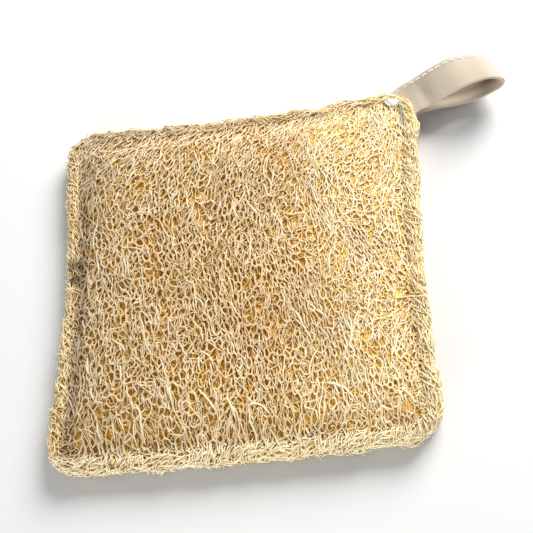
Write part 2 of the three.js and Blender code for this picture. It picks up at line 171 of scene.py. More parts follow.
def on_sheet(points, side, sunk=0.0):
    """Lays points of the plane on the TOP or the UNDER sheet, over its rim too, and sunk into it.

    Gives the places, and how far each point of the plane lies inside the outline."""
    s, out = from_edge(points)
    if sunk > 0:
        sunk = sunk * packed(points[:, 0], points[:, 1])
    section = TOP_SECTION if side > 0 else UNDER_SECTION
    inset = np.interp(s, section[:, 0], section[:, 1])
    height = np.interp(s, section[:, 0], section[:, 2])
    x, y = points[:, 0], points[:, 1]
    ragged = 0.26 * np.sin(x / 3.1 + y / 4.1) + 0.2 * np.sin(y / 1.7 - x / 2.2 + 2)
    ragged = ragged - LEFT_DENT * np.exp(-((x + 58) / 5) ** 2 - ((y - 2) / 7) ** 2)
    reach = s - inset + (ragged - sunk) * (1 - smooth(s, -1, 2))
    plan = points + out * reach[:, None]
    x, y = plan[:, 0], plan[:, 1]
    if side > 0:
        height = height + BACK_RIDGE * np.exp(-((s - SEAM_INSET) / 1.7) ** 2) * out[:, 1] ** 2
        height = height + TOP_LIFT * lift_at(x, y) * smooth(s, -3.4, 1) + smooth(s, 8, 16) * rolls(x, y)
    else:
        height = height + UNDER_LIFT * lift_at(x, y) * smooth(s, -3.4, 1)
    height = height - side * sunk * smooth(s, -2.5, 0.5)
    return np.column_stack([plan, height]), s


# ---- making meshes

def show(name, data):
    """Puts a mesh, a lamp or a camera into the scene as an object."""
    ob = bpy.data.objects.new(name, data)
    scene.collection.objects.link(ob)
    return ob


def mesh_from(name, verts_mm, faces=(), edges=()):
    me = bpy.data.meshes.new(name)
    me.from_pydata([tuple(v) for v in np.asarray(verts_mm) * MM], list(edges), list(faces))
    me.update()
    return show(name, me)


def chain(first, count):
    """The edges that join a row of points."""
    return [(first + k, first + k + 1) for k in range(count - 1)]


def give_attribute(ob, name, values):
    kind = "FLOAT" if np.ndim(values) == 1 else "FLOAT_VECTOR"
    layer = ob.data.attributes.new(name, kind, "POINT")
    layer.data.foreach_set("value" if kind == "FLOAT" else "vector", np.ravel(values).astype(np.float32))


def smooth_in(ob, material):
    ob.data.materials.append(material)
    ob.data.polygons.foreach_set("use_smooth", [True] * len(ob.data.polygons))
    return ob


# ---- building node trees

def join(tree, socket, value):
    if isinstance(value, bpy.types.NodeSocket):
        tree.links.new(value, socket)
    else:
        socket.default_value = value


def fill(tree, made, inputs):
    for key, value in inputs.items():
        socket = made.inputs[key] if isinstance(key, int) else next(
            s for s in made.inputs if s.name == key and s.enabled)
        join(tree, socket, value)


class Nodes:
    """Adds nodes to a tree. A node's inputs are filled by name or number, with values or other sockets."""

    def made(self, kind, inputs=None, **settings):
        made = self.tree.nodes.new(kind)
        for key, value in settings.items():
            setattr(made, key, value)
        fill(self.tree, made, inputs or {})
        return made

    def node(self, kind, inputs=None, out=0, **settings):
        made = self.made(kind, inputs, **settings)
        shown = [s for s in made.outputs if s.enabled]
        return shown[out] if isinstance(out, int) else made.outputs[out]

    def geo(self, kind, inputs=None, **settings):
        return self.node("GeometryNode" + kind, inputs, **settings)

    def math(self, operation, a, b=0.0):
        return self.node("ShaderNodeMath", {0: a, 1: b}, operation=operation)

    def add(self, a, b):
        return self.math("ADD", a, b)

    def sub(self, a, b):
        return self.math("SUBTRACT", a, b)

    def mul(self, a, b):
        return self.math("MULTIPLY", a, b)

    def size(self, a):
        return self.math("ABSOLUTE", a)

    def vector(self, operation, a, b=None, scale=None, out=0):
        inputs = {0: a} if b is None else {0: a, 1: b}
        if scale is not None:
            inputs["Scale"] = scale
        return self.node("ShaderNodeVectorMath", inputs, out, operation=operation)

    def xyz(self, x=0.0, y=0.0, z=0.0):
        return self.node("ShaderNodeCombineXYZ", {0: x, 1: y, 2: z})

    def parts(self, vector):
        return self.made("ShaderNodeSeparateXYZ", {0: vector}).outputs

    def chance(self, low, high, seed):
        kind = "FLOAT" if isinstance(low, float) else "FLOAT_VECTOR"
        return self.node("FunctionNodeRandomValue", {"Min": low, "Max": high, "Seed": seed}, data_type=kind)

    def carried(self, name, kind="FLOAT_VECTOR"):
        return self.geo("InputNamedAttribute", {"Name": name}, data_type=kind)

    def span(self, value, low, high, start=0.0, end=1.0, **settings):
        """Goes from start to end while the value goes from low to high."""
        return self.node("ShaderNodeMapRange", {
            "Value": value, "From Min": low, "From Max": high, "To Min": start, "To Max": end}, **settings)

    def noise(self, place, scale, detail=3.0, roughness=0.55):
        return self.node("ShaderNodeTexNoise", {
            "Vector": place, "Scale": scale, "Detail": detail, "Roughness": roughness}, out="Fac")

    def mix(self, share, a, b, kind="MIX"):
        made = self.made("ShaderNodeMix", data_type="RGBA", blend_type=kind)
        for socket, value in zip([s for s in made.inputs if s.enabled], (share, a, b)):
            join(self.tree, socket, value)
        return next(s for s in made.outputs if s.enabled)

    def tinted(self, colour, tint, share=None):
        whole = self.mix(1.0, colour, tint, "MULTIPLY")
        return whole if share is None else self.mix(share, colour, whole)


class Group(Nodes):
    """A node group being built, with its named inputs and outputs."""

    def __init__(self, name, kind="GeometryNodeTree"):
        self.tree = bpy.data.node_groups.new(name, kind)
        self.start = self.tree.nodes.new("NodeGroupInput")
        self.end = self.tree.nodes.new("NodeGroupOutput")
        if kind == "GeometryNodeTree":
            self.base = self.takes("Geometry", ["Geometry"])
            self.material = self.takes("Material", ["Material"])

    def takes(self, kind, names):
        """Makes inputs of one kind, from names alone or from names with their values."""
        for name in names:
            socket = self.tree.interface.new_socket(name, in_out="INPUT", socket_type="NodeSocket" + kind)
            if isinstance(names, dict):
                socket.default_value = names[name]
        made = [self.start.outputs[name] for name in names]
        return made if len(made) > 1 else made[0]

    def gives(self, name, kind, value):
        self.tree.interface.new_socket(name, in_out="OUTPUT", socket_type="NodeSocket" + kind)
        self.tree.links.new(value, self.end.inputs[name])

    def gives_shape(self, shape):
        """Ends a geometry group in plain, smooth faces of its material."""
        whole = self.geo("RealizeInstances", {"Geometry": self.geo("SetShadeSmooth", {0: shape})})
        self.gives("Geometry", "Geometry", self.geo("SetMaterial", {
            "Geometry": whole, "Material": self.material}))


def grow(base, name, tree, settings):
    """Runs a geometry tree on a base mesh with its inputs set, and keeps only the plain mesh it makes."""
    modifier = base.modifiers.new(name, "NODES")
    modifier.node_group = tree
    for item in tree.interface.items_tree:
        if item.item_type == "SOCKET" and item.in_out == "INPUT" and item.name in settings:
            modifier[item.identifier] = settings[item.name]
    evaluated = base.evaluated_get(bpy.context.evaluated_depsgraph_get())
    me = bpy.data.meshes.new_from_object(evaluated)
    me.name = name
    base.modifiers.remove(modifier)
    ob = show(name, me)
    bpy.data.objects.remove(base)
    return ob


# ---- geometry trees for the fibres and the stitches

NOISE_STRETCH = 4.0   # noise strays by about a quarter either way, so this makes a wander of its full length
FINE_WAVES = 420.0    # per metre, for a change of thickness along a fibre and for the bend of a cut end
PATCH_WAVES = 110.0   # per metre, for patches where more of the net is missing


def swirl(t, place, waves, seed, detail=1.0):
    """Noise in three directions, another one for each seed."""
    aside = t.xyz(t.mul(seed, 3.17), t.mul(seed, 1.31))
    at = t.vector("ADD", t.vector("SCALE", place, scale=waves), aside)
    return t.node("ShaderNodeTexNoise", {"Vector": at, "Scale": 1.0, "Detail": detail}, out="Color")


def wandering(t, lines, waves, seed, reach, detail=2.0):
    """Moves the points of lines about by chance."""
    shake = t.vector("SUBTRACT", swirl(t, t.geo("InputPosition"), waves, seed, detail), (0.5, 0.5, 0.5))
    return t.geo("SetPosition", {"Geometry": lines, "Offset": t.vector("SCALE", shake, scale=reach)})


def thread_out(t, curves, thickness, change, sides, seed, taper=0.0, flare=None):
    """Sweeps curves into fibres whose thickness changes from one to the next and along each."""
    own = t.geo("FieldOnDomain", {0: t.chance(0.0, 1.0, seed)}, domain="CURVE", data_type="FLOAT")
    along = t.parts(swirl(t, t.geo("InputPosition"), FINE_WAVES, seed))[0]
    vary = t.mul(t.sub(t.add(t.mul(own, 1.1), t.mul(along, 0.9)), 1.0), change)
    radius = t.mul(t.add(vary, 1.0), t.mul(thickness, 0.5))
    factor = t.geo("SplineParameter")
    if flare is not None:
        from_middle = t.size(t.sub(t.mul(factor, 2.0), 1.0))
        radius = t.mul(radius, t.add(t.mul(t.math("POWER", from_middle, 2.0), flare), 1.0))
    if taper:
        from_ends = t.mul(t.mul(factor, t.sub(1.0, factor)), 4.0)
        radius = t.mul(radius, t.add(t.mul(t.math("POWER", from_ends, 0.5), taper), 1 - taper))
    curves = t.geo("StoreNamedAttribute", {"Geometry": curves, "Name": "fibre", "Value": own},
                   data_type="FLOAT", domain="POINT")
    ring = t.geo("CurvePrimitiveCircle", {"Resolution": sides, "Radius": 1.0})
    t.gives_shape(t.geo("CurveToMesh", {"Curve": curves, "Profile Curve": ring, "Scale": radius}))


def net_tree():
    """Fibres along the edges of a mesh, or of its cells: a net of fine struts that wander a little."""
    t = Group("Fibre net")
    cells = t.takes("Bool", ["Cells"])
    missing, across, patchy, step, wander, waves, thickness, change, flare = t.takes("Float", [
        "Missing share", "More missing across the grain", "Patchiness", "Step", "Wander", "Waves per metre",
        "Thickness", "Thickness change", "Flare at knots"])
    sides, seed = t.takes("Int", ["Sides", "Seed"])
    dual = t.geo("DualMesh", {"Mesh": t.base, "Keep Boundaries": True})
    chosen = t.geo("Switch", {"Switch": cells, "False": t.base, "True": dual}, input_type="GEOMETRY")
    ends = t.made("GeometryNodeInputMeshEdgeVertices").outputs
    run = t.vector("NORMALIZE", t.vector("SUBTRACT", ends["Position 2"], ends["Position 1"]))
    aligned = t.size(t.vector("DOT_PRODUCT", run, t.carried("grain"), out="Value"))
    limit = t.add(missing, t.mul(across, t.sub(1.0, aligned)))
    broad = t.parts(swirl(t, t.geo("InputPosition"), PATCH_WAVES, seed))[0]
    limit = t.add(limit, t.mul(t.sub(broad, 0.5), patchy))
    kept = t.node("FunctionNodeCompare", {0: t.chance(0.0, 1.0, seed), 1: limit},
                  data_type="FLOAT", operation="GREATER_THAN")
    lines = t.geo("MeshToCurve", {"Mesh": chosen, "Selection": kept})
    lines = t.geo("CurveSplineType", {"Curve": lines}, spline_type="CATMULL_ROM")
    lines = t.geo("ResampleCurve", {"Curve": lines, "Length": step}, mode="LENGTH")
    lines = wandering(t, lines, waves, seed, t.mul(wander, NOISE_STRETCH))
    thread_out(t, lines, thickness, change, sides, seed, flare=flare)
    return t.tree


def strand_tree():
    """Fibres along loose lines, thinner towards their ends."""
    t = Group("Long strands")
    step, wander, waves, thickness, change = t.takes("Float", {
        "Step": 0.0012, "Wander": 0.0003, "Waves per metre": 200.0, "Thickness": 0.0005,
        "Thickness change": 0.4})
    sides, seed = t.takes("Int", {"Sides": 4, "Seed": 1})
    lines = t.geo("MeshToCurve", {"Mesh": t.base})
    lines = t.geo("ResampleCurve", {"Curve": lines, "Length": step}, mode="LENGTH")
    lines = wandering(t, lines, waves, seed, t.mul(wander, NOISE_STRETCH))
    thread_out(t, lines, thickness, change, sides, seed, taper=0.75)
    return t.tree


def aimed(t, axis, way, start=None, pivot="AUTO"):
    """Turns an axis towards a way, from no turn or from another one about its pivot."""
    inputs = {"Vector": way} if start is None else {"Vector": way, "Rotation": start}
    return t.node("FunctionNodeAlignRotationToVector", inputs, axis=axis, pivot_axis=pivot)


def turned(t, rotation, local):
    """Turns by angles about a rotation's own axes."""
    by = t.node("FunctionNodeEulerToRotation", {0: local})
    return t.node("FunctionNodeRotateRotation", {"Rotation": rotation, "Rotate By": by},
                  rotation_space="LOCAL")


def cut_end_tree():
    """Short fibres all over a strip of surface, lying along its grain and turned by chance."""
    t = Group("Cut fibre ends")
    density, length, rise, lean, spread, slant, thickness, change = t.takes("Float", {
        "Density": 300000.0, "Length": 0.003, "Rise": 0.0004, "Lean": 0.2, "Turn": 0.9, "Slant": 0.8,
        "Thickness": 0.0004, "Thickness change": 0.4})
    sides, seed = t.takes("Int", {"Sides": 3, "Seed": 1})
    scatter = t.made("GeometryNodeDistributePointsOnFaces", {
        "Mesh": t.base, "Density": density, "Seed": seed})
    lie = aimed(t, "X", t.carried("grain"), aimed(t, "Z", scatter.outputs["Normal"]), "Z")
    by_chance = t.parts(t.chance((-1, -1, -1), (1, 1, 1), seed))
    turn = t.add(t.mul(by_chance[0], spread), t.mul(t.carried("over", "FLOAT"), slant))
    facing = turned(t, lie, t.xyz(0.0, t.mul(by_chance[1], lean), turn))
    half = t.mul(length, 0.5)
    one = t.geo("CurveQuadraticBezier", {
        "Resolution": 3, "Start": t.xyz(t.mul(half, -1.0)),
        "Middle": t.xyz(0.0, t.mul(half, 0.35), t.mul(rise, 2.0)), "End": t.xyz(half)})
    many = t.geo("InstanceOnPoints", {
        "Points": scatter.outputs["Points"], "Instance": one, "Rotation": facing,
        "Scale": t.chance(0.5, 1.5, t.add(seed, 7))})
    many = wandering(t, t.geo("RealizeInstances", {"Geometry": many}), FINE_WAVES, seed, 0.0015, 1.0)
    thread_out(t, many, thickness, change, sides, seed, taper=0.6)
    return t.tree


def stitch_tree():
    """Even stitches along a line whose points carry the way out of the cloth."""
    t = Group("Stitches")
    pitch, length, arch, thickness, wobble = t.takes("Float", {
        "Pitch": 0.0025, "Length": 0.0018, "Arch": 0.0003, "Thickness": 0.0004, "Wobble": 0.08})
    seed = t.takes("Int", {"Seed": 1})
    lines = t.geo("MeshToCurve", {"Mesh": t.base})
    walk = t.made("GeometryNodeCurveToPoints", {"Curve": lines, "Length": pitch}, mode="LENGTH")
    facing = aimed(t, "Z", t.carried("outward"), aimed(t, "X", walk.outputs["Tangent"]), "X")
    facing = turned(t, facing, t.vector("SCALE", t.chance((0, 0, -1), (0, 0, 1), seed), scale=wobble))
    half = t.mul(length, 0.5)
    down = t.mul(arch, -0.9)
    bow = t.geo("CurveQuadraticBezier", {
        "Resolution": 8, "Start": t.xyz(t.mul(half, -1.0), 0.0, down),
        "Middle": t.xyz(0.0, 0.0, t.mul(arch, 1.6)), "End": t.xyz(half, 0.0, down)})
    ring = t.geo("CurvePrimitiveCircle", {"Resolution": 6, "Radius": t.mul(thickness, 0.5)})
    one = t.geo("CurveToMesh", {"Curve": bow, "Profile Curve": ring, "Fill Caps": True})
    many = t.geo("InstanceOnPoints", {"Points": walk.outputs["Points"], "Instance": one, "Rotation": facing})
    t.gives_shape(t.geo("RealizeInstances", {"Geometry": many}))
    return t.tree


NET = net_tree()
STRANDS = strand_tree()
CUT_ENDS = cut_end_tree()
STITCHES = stitch_tree()


# ---- materials

# What the plant's own colour is multiplied by, at some places of the pad. The tints for the right, the left,
# the groove and the flanks are painted light and shade.
TINTS = {
    "most of it": (0.925, 0.895, 0.835, 1),
    "sunned right": (0.99, 0.97, 0.905, 1),
    "painted left shade": (0.83, 0.83, 0.84, 1),
    "painted groove shade": (0.52, 0.48, 0.45, 1),
    "heart": (0.89, 0.84, 0.78, 1),
    "back": (0.92, 0.91, 0.91, 1),
    "flank": (1.0, 0.745, 0.20, 1),
}
WHITE = (1.0, 1.0, 1.0, 1)
STAIN_BROWN = (0.10, 0.065, 0.03, 1)
STAIN_SPOTS = [((-52.7, 6.8), (0.8, 4.2)), ((-52.3, 2.2), (0.5, 3.2))]
HEART_SPOT = (-1.0, -2.0), (12.0, 50.0)
LEFT_RIM_AT = 0.0557
LEFT_RIM_BOW = 0.74
GROOVE_FROM_LEFT = 0.0056


def spot(t, place, centre_mm, reach_mm):
    """A soft mask round one place of the plan, whole within the first reach and gone at the second."""
    flat = t.vector("MULTIPLY", place, (1.0, 1.0, 0.0))
    gap = t.vector("DISTANCE", flat, (centre_mm[0] * MM, centre_mm[1] * MM, 0.0), out="Value")
    return t.span(gap, reach_mm[0] * MM, reach_mm[1] * MM, 1.0, 0.0, interpolation_type="SMOOTHSTEP")


def plant_colour():
    """The straw colour of the fruit: paler and deeper fibres, greyer and more golden patches, a stain, and
    painted light and shade.
    """
    t = Group("Plant fibre colour", "ShaderNodeTree")
    place = t.takes("Vector", ["Place"])
    own, flank = t.takes("Float", ["Own", "Flank"])
    pale, straw, gold, grey = t.takes("Color", ["Pale", "Straw", "Gold", "Grey"])
    x, y, z = t.parts(place)

    # from fibre to fibre, and in patches
    tone = t.add(t.mul(own, 0.75), t.mul(t.noise(place, 260.0), 0.5))
    base = t.mix(t.span(tone, 0.1, 0.6), gold, straw)
    base = t.mix(t.span(tone, 0.5, 1.0), base, pale)
    base = t.mix(t.span(t.noise(place, 28.0, 2.0), 0.5, 0.72, end=0.45), base, gold)
    patch = t.span(t.noise(place, 44.0, 2.0), 0.52, 0.66, end=0.55)

    # painted light: paler and brighter to the right, as if the lamp fell stronger there
    base = t.mix(t.span(x, 0.01, 0.04, end=0.5), base, pale)
    painted_light = t.mix(t.span(x, 0.008, 0.034), TINTS["most of it"], TINTS["sunned right"])
    base = t.tinted(base, painted_light)

    # painted shade: duller to the left, but not on the rim, and darker along the left groove
    from_left = t.add(t.add(x, t.mul(t.mul(y, y), LEFT_RIM_BOW)), LEFT_RIM_AT)
    inner = t.span(from_left, 0.0025, 0.0045, start=0.25)
    dull = t.span(x, -0.05, -0.012, 1.0, 0.0)
    base = t.tinted(base, TINTS["painted left shade"], t.mul(dull, inner))
    beside = t.size(t.sub(from_left, GROOVE_FROM_LEFT))
    groove = t.span(beside, 0.0008, 0.0034, 1.0, 0.0, interpolation_type="SMOOTHSTEP")
    below = t.span(y, 0.024, 0.05, 1.0, 0.0)
    base = t.tinted(base, TINTS["painted groove shade"], t.mul(groove, below))

    # browner in the middle and at the back, and painted light on the front rim, which is made paler
    base = t.tinted(base, t.mix(spot(t, place, *HEART_SPOT), WHITE, TINTS["heart"]))
    base = t.tinted(base, TINTS["back"], t.span(y, 0.01, 0.045))
    base = t.mix(t.span(y, -0.0575, -0.0545, 0.7, 0.0), base, pale)

    # greyer patches at random, and painted shade that greys the left
    left = t.mul(t.span(x, -0.058, 0.02, 0.55, 0.05), inner)
    base = t.mix(t.math("MAXIMUM", t.mul(patch, 0.7), left), base, grey)

    # the stain, on the upper side only
    mark = t.math("MAXIMUM", *[spot(t, place, *at) for at in STAIN_SPOTS])
    mark = t.mul(mark, t.mul(t.noise(place, 300.0), 1.9))
    base = t.mix(t.mul(mark, t.span(z, 0.0045, 0.0085)), base, STAIN_BROWN)

    # painted warm shade: the sides of a fibre are made more golden, for the light that comes to them through
    # other fibres
    deeper = t.span(x, 0.0, 0.03, 0.85, 0.78)
    t.gives("Color", "Color", t.tinted(base, TINTS["flank"], t.mul(flank, deeper)))
    return t.tree


def surface_grain():
    """Fine bumps as a normal."""
    t = Group("Fine grain", "ShaderNodeTree")
    place = t.takes("Vector", ["Place"])
    scale, strength, depth = t.takes("Float", ["Scale", "Strength", "Depth"])
    t.gives("Normal", "Vector", t.node("ShaderNodeBump", {
        "Strength": strength, "Distance": depth, "Height": t.noise(place, scale, 2.0, 0.5)}))
    return t.tree


def weave():
    """Plain weave of slubby linen threads, from coordinates along and across the tape."""
    t = Group("Linen weave", "ShaderNodeTree")
    place = t.takes("Vector", ["Place"])
    pitch, slub = t.takes("Float", {"Threads per metre": 2400.0, "Slub": 0.5})
    light, dark = t.takes("Color", {"Light": (0.625, 0.54, 0.43, 1), "Dark": (0.465, 0.395, 0.30, 1)})
    strength = t.takes("Float", {"Strength": 0.5})
    u, v, _ = t.parts(place)
    turns = t.mul(pitch, math.pi)
    check = t.mul(t.math("SINE", t.mul(u, turns)), t.math("SINE", t.mul(v, turns)))
    over = t.add(t.mul(t.size(check), 0.7), t.mul(check, 0.3))
    long_way, short_way = 90.0, 1500.0
    streaks = [t.noise(t.xyz(t.mul(u, long_way), t.mul(v, short_way)), 1.0, 2.0),
               t.noise(t.xyz(t.mul(u, short_way), t.mul(v, long_way), 5.0), 1.0, 2.0)]
    streak = t.mul(t.add(*streaks), 0.5)
    tone = t.add(t.mul(t.sub(streak, 0.5), t.mul(slub, 3.0)), over)
    tone = t.add(t.mul(tone, 0.6), 0.35)
    t.gives("Color", "Color", t.mix(tone, dark, light))
    t.gives("Normal", "Vector", t.node("ShaderNodeBump", {
        "Strength": strength, "Distance": 0.00012, "Height": tone}))
    return t.tree


PLANT = plant_colour()
GRAIN = surface_grain()
WEAVE = weave()


class Finish(Nodes):
    """A material being built round a Principled BSDF, on the piece's own coordinates."""

    def __init__(self, name, roughness, specular, place="Object"):
        self.material = bpy.data.materials.new(name)
        self.material.use_nodes = True
        self.tree = self.material.node_tree
        self.skin = self.tree.nodes["Principled BSDF"]
        self.skin.inputs["Roughness"].default_value = roughness
        self.skin.inputs["Specular IOR Level"].default_value = specular
        self.place = self.node("ShaderNodeTexCoord", out=place)

    def effect(self, group, inputs):
        made = self.tree.nodes.new("ShaderNodeGroup")
        made.node_tree = group
        fill(self.tree, made, {"Place": self.place, **inputs})
        return made.outputs

    def wear(self, socket, value):
        self.tree.links.new(value, self.skin.inputs[socket])

    def grained(self, scale, strength, depth):
        made = self.effect(GRAIN, {"Scale": scale, "Strength": strength, "Depth": depth})
        self.wear("Normal", made["Normal"])


def fibre_finish(name, pale, straw, gold, grey, sides=1.0):
    """Fibre of the plant. Its sides are painted more golden than its top, as warm shade, by the share given."""
    f = Finish(name, 0.5, 0.35)
    upright = f.parts(f.node("ShaderNodeTexCoord", out="Normal"))[2]
    own = f.node("ShaderNodeAttribute", out="Fac", attribute_name="fibre")
    colour = f.effect(PLANT, {
        "Own": own, "Pale": (*pale, 1), "Straw": (*straw, 1), "Gold": (*gold, 1), "Grey": (*grey, 1),
        "Flank": f.span(f.size(upright), 0.25, 0.95, sides, 0.0)})
    f.wear("Base Color", colour["Color"])
    f.grained(1800.0, 0.35, 0.00008)
    return f.material


def core_finish(name):
    """What shows between the fibres: deeper fibre packed close, painted saturated gold and brown as the warm
    shade between the fibres.
    """
    f = Finish(name, 0.8, 0.2)
    cells = f.node("ShaderNodeTexVoronoi", {"Vector": f.place, "Scale": 650.0}, feature="DISTANCE_TO_EDGE")
    strands = f.span(cells, 0.02, 0.16, 1.0, 0.0)
    deep = f.span(f.noise(f.place, 330.0, 3.0, 0.5), 0.4, 0.66)
    hollow = f.mix(deep, (0.97, 0.52, 0.04, 1), (0.62, 0.25, 0.012, 1))
    veil = f.mix(strands, hollow, (0.92, 0.60, 0.17, 1))
    x, y, _ = f.parts(f.place)
    veil = f.mix(f.span(x, 0.0, 0.03, end=0.6), veil, (0.82, 0.56, 0.22, 1))
    rim = f.span(f.math("MAXIMUM", f.size(x), f.size(y)), 0.052, 0.056)
    f.wear("Base Color", f.mix(rim, veil, (0.90, 0.66, 0.30, 1)))
    f.wear("Normal", f.node("ShaderNodeBump", {"Strength": 0.7, "Distance": 0.0004, "Height": strands}))
    return f.material


def linen_finish():
    """The tape's cloth, with painted shade on the loop's inner side, and a little darker where it is handled.
    """
    f = Finish("undyed linen", 0.88, 0.25, "UV")
    f.skin.inputs["Sheen Weight"].default_value = 0.12
    f.skin.inputs["Sheen Roughness"].default_value = 0.5
    made = f.effect(WEAVE, {})
    u, v, _ = f.parts(f.place)
    # painted shade: the loop's inner side, under the upper ply, is made browner and darker
    inside = f.mul(f.span(v, 0.0142, 0.0168), f.math("LESS_THAN", v, 0.0238))
    handled = f.span(f.size(f.sub(u, 0.042)), 0.004, 0.014, 1.0, 0.0)
    cloth = f.tinted(made["Color"], (0.86, 0.845, 0.84, 1), handled)
    f.wear("Base Color", f.tinted(cloth, (0.40, 0.335, 0.30, 1), inside))
    f.wear("Normal", made["Normal"])
    return f.material


def thread_finish(name, colour, shade):
    f = Finish(name, 0.55, 0.4)
    twist = f.noise(f.place, 1400.0, 1.0, 0.5)
    f.wear("Base Color", f.mix(twist, (*shade, 1), (*colour, 1)))
    f.grained(4000.0, 0.4, 0.0001)
    return f.material


UPPER_FIBRE = fibre_finish(
    "upper fibre", (0.95, 0.87, 0.70), (0.86, 0.71, 0.47), (0.73, 0.51, 0.22), (0.62, 0.51, 0.38))
LONG_FIBRE = fibre_finish(
    "long pale fibre", (1.0, 0.95, 0.80), (0.97, 0.88, 0.69), (0.86, 0.70, 0.44), (0.70, 0.62, 0.49), 0.6)
# The middle and lower layers' colours are painted shade: deeper, more golden copies of the fibre, for the warm
# light that comes to them through the layers above.
MIDDLE_FIBRE = fibre_finish(
    "middle fibre", (0.98, 0.80, 0.40), (0.92, 0.67, 0.24), (0.80, 0.50, 0.10), (0.66, 0.50, 0.27))
LOWER_FIBRE = fibre_finish(
    "lower fibre", (0.99, 0.71, 0.16), (0.92, 0.58, 0.07), (0.78, 0.44, 0.03), (0.64, 0.42, 0.12))
RIM_FIBRE = fibre_finish(
    "rim fibre", (1.0, 0.90, 0.63), (0.98, 0.81, 0.46), (0.90, 0.67, 0.27), (0.82, 0.72, 0.53), 0.15)
CORE = core_finish("fibre in the depth")
LINEN = linen_finish()
TOPSTITCH = thread_finish("topstitch thread", (0.99, 0.93, 0.89), (0.93, 0.84, 0.79))
SEAM_THREAD = thread_finish("seam thread", (0.70, 0.58, 0.40), (0.50, 0.39, 0.24))
TACK_THREAD = thread_finish("tack thread", (0.99, 0.93, 0.90), (0.84, 0.77, 0.73))
TAIL_THREAD = thread_finish("grey thread tail", (0.66, 0.62, 0.55), (0.42, 0.39, 0.34))


# ---- the camera, at the photo's angle

# Found from the pad's four corners in the photo: degrees, millimetres and pixels.
CAMERA_TURN, CAMERA_HEIGHT, CAMERA_ROLL = 16.08, 62.28, -20.0
CAMERA_TARGET = (8.37, 4.04, 0.0)
CAMERA_DISTANCE = 336.85
FOCAL_PIXELS, PHOTO_PIXELS, SENSOR_MM = 1050, 533, 36


def make_camera():
    turn, height, roll = (math.radians(a) for a in (CAMERA_TURN, CAMERA_HEIGHT, CAMERA_ROLL))
    target = Vector(CAMERA_TARGET) * MM
    back = Vector((math.sin(turn) * math.cos(height), -math.cos(turn) * math.cos(height), math.sin(height)))
    right = (-back).cross(Vector((0, 0, 1))).normalized()
    up = right.cross(-back)
    across = math.cos(roll) * right + math.sin(roll) * up
    rise = -math.sin(roll) * right + math.cos(roll) * up
    data = bpy.data.cameras.new("photo camera")
    data.lens = FOCAL_PIXELS / PHOTO_PIXELS * SENSOR_MM
    data.sensor_width = SENSOR_MM
    data.clip_start = 0.01
    scene.camera = show("photo camera", data)
    turned_to = Matrix((across, rise, back)).transposed().to_4x4()
    scene.camera.matrix_world = Matrix.Translation(target + back * CAMERA_DISTANCE * MM) @ turned_to


make_camera()


# ---- loofah

NET_REACH = 3.0        # how far over the rim the nets go
SITE_SHAKE = 0.46      # how far a knot of the net strays, as a share of the spacing
SITES_GONE = 0.15      # the share of knots left out, which makes larger cells
ROUGHNESS = 0.25       # how far a knot stands up or sinks, in millimetres


def bent(value, reach, slope):
    """Nothing below zero and a slope above it, with a soft bend between."""
    return slope * reach * np.log1p(np.exp(value / reach))


def grain(x, y, seed=0.0):
    """How far the fruit's fibres lean to the right at a place, in millimetres of drift."""
    lean = bent(y - 28, 8, 0.55) * (1 - 0.7 * smooth(x, -10, 60))
    swirls = 2.2 * np.sin(y / 7.5 + x / 9 + 1.3 * seed) * smooth(x, 8, 40)
    return lean + 3.0 * np.sin(y / 15 + 0.5 * np.sin(x / 19) + seed) + swirls


def scattered(spacing, stretch, seed, apart):
    """Random sites over the pad and down over its rim, joined up by triangles: places and faces.

    They are joined on an even plane and then drawn out along the fruit, so the cells come out long."""
    rng = np.random.default_rng(seed)
    xs = np.arange(-110, 80, spacing)
    ys = np.arange(-72, 72, spacing * stretch * 0.87)
    gx, gy = np.meshgrid(xs, ys)
    gx[1::2] += spacing / 2
    p = np.column_stack([gx.ravel(), gy.ravel()])
    p += rng.uniform(-1, 1, p.shape) * SITE_SHAKE * spacing * np.array([1, stretch])
    p = p[rng.random(len(p)) > SITES_GONE]
    even = p / np.array([1, stretch])
    p[:, 0] -= bent(-(p[:, 0] + 18), 6, 0.25)
    x, y = p[:, 0].copy(), p[:, 1].copy()
    p[:, 0] += grain(x, y, seed) + 0.8 * np.sin(x / 4.1 + y / 9)
    p[:, 1] += 1.1 * np.sin(x / 8 + 2 * seed) + 0.7 * np.sin(y / 4.7 - x / 7)
    p += rng.normal(0, 1, p.shape) * apart
    s, _ = from_edge(p)
    near = s > -NET_REACH
    p, even = p[near], even[near]
    _, _, faces, origins, *_ = delaunay_2d_cdt([Vector(q) for q in even], [], [], 0, 1e-6)
    faces = np.array([[origins[k][0] for k in face] for face in faces])
    corners = even[faces]
    size = np.linalg.norm(corners - np.roll(corners, 1, axis=1), axis=2).max(1)
    return p, faces[size < 3.2 * spacing]


def band_faces(rows, n):
    """The faces between rows of points, each row a ring of n."""
    return [(r * n + i, r * n + (i + 1) % n, (r + 1) * n + (i + 1) % n, (r + 1) * n + i)
            for r in range(rows - 1) for i in range(n)]


